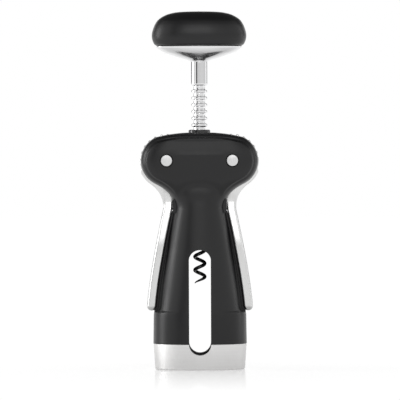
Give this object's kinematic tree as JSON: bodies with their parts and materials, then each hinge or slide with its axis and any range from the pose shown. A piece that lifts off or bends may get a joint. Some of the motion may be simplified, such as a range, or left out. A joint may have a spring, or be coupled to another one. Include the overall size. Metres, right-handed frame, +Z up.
{
  "type": "lever corkscrew",
  "caption": "Winged corkscrew: geared levers lift a worm on a ring-toothed rack through a moulded body that stands over a bottle's neck.",
  "frame": {"origin": "middle of the base ring's underside, on the surface that the corkscrew stands on", "axes": "+Z up along the worm's axis, front window towards -Y, right lever towards +X"},
  "size_m": [0.0682, 0.0444, 0.2049],
  "materials": {
    "soft_touch_black": "soft-touch matt black",
    "hard_black": "moulded black plastic",
    "gloss_black": "polished black plastic",
    "satin_steel": "satin nickel-plated steel",
    "polished_steel": "polished chrome",
    "coated_steel": "black non-stick coating on steel wire"
  },
  "bodies": {
    "housing": {"front_shell": "soft_touch_black", "rear_shell": "soft_touch_black", "base_ring": "satin_steel", "neck_guide": "hard_black", "rack_guide": "hard_black", "shell_screw_upper_left": "satin_steel", "shell_screw_upper_right": "satin_steel", "shell_screw_lower_left": "satin_steel", "shell_screw_lower_right": "satin_steel", "base_screw_front_left": "satin_steel", "base_screw_front_right": "satin_steel", "base_screw_rear_left": "satin_steel", "base_screw_rear_right": "satin_steel", "left_pivot_pin": "satin_steel", "right_pivot_pin": "satin_steel", "left_pin_cap": "satin_steel", "right_pin_cap": "satin_steel"},
    "left_lever": {"left_lever": "satin_steel"},
    "right_lever": {"right_lever": "satin_steel"},
    "turning_collar": {"top_collar": "gloss_black"},
    "screw": {"rack": "polished_steel", "worm": "coated_steel", "worm_pin": "satin_steel", "knob_core": "polished_steel", "knob_screw": "satin_steel", "knob_grip": "soft_touch_black", "grip_insert": "hard_black"}
  },
  "joints": [
    {"name": "left_lever_swing", "type": "hinge", "parent": "housing", "child": "left_lever", "pos_m": [-0.01881, 0, 0.1194], "axis": [0, 1, 0], "range_deg": [0, 147]},
    {"name": "right_lever_swing", "type": "hinge", "parent": "housing", "child": "right_lever", "pos_m": [0.01881, 0, 0.1194], "axis": [0, -1, 0], "range_deg": [0, 147]},
    {"name": "knob_turn", "type": "hinge", "parent": "housing", "child": "turning_collar", "pos_m": [0, 0, 0.1354], "axis": [0, 0, 1], "continuous": true},
    {"name": "rack_slide", "type": "slide", "parent": "turning_collar", "child": "screw", "axis": [0, 0, -1], "range_m": [0, 0.03775]}
  ],
  "couplings": [
    {"joint": "right_lever_swing", "follows": "left_lever_swing", "ratio": 1},
    {"joint": "rack_slide", "follows": "left_lever_swing", "m_per_rad": 0.014706}
  ]
}
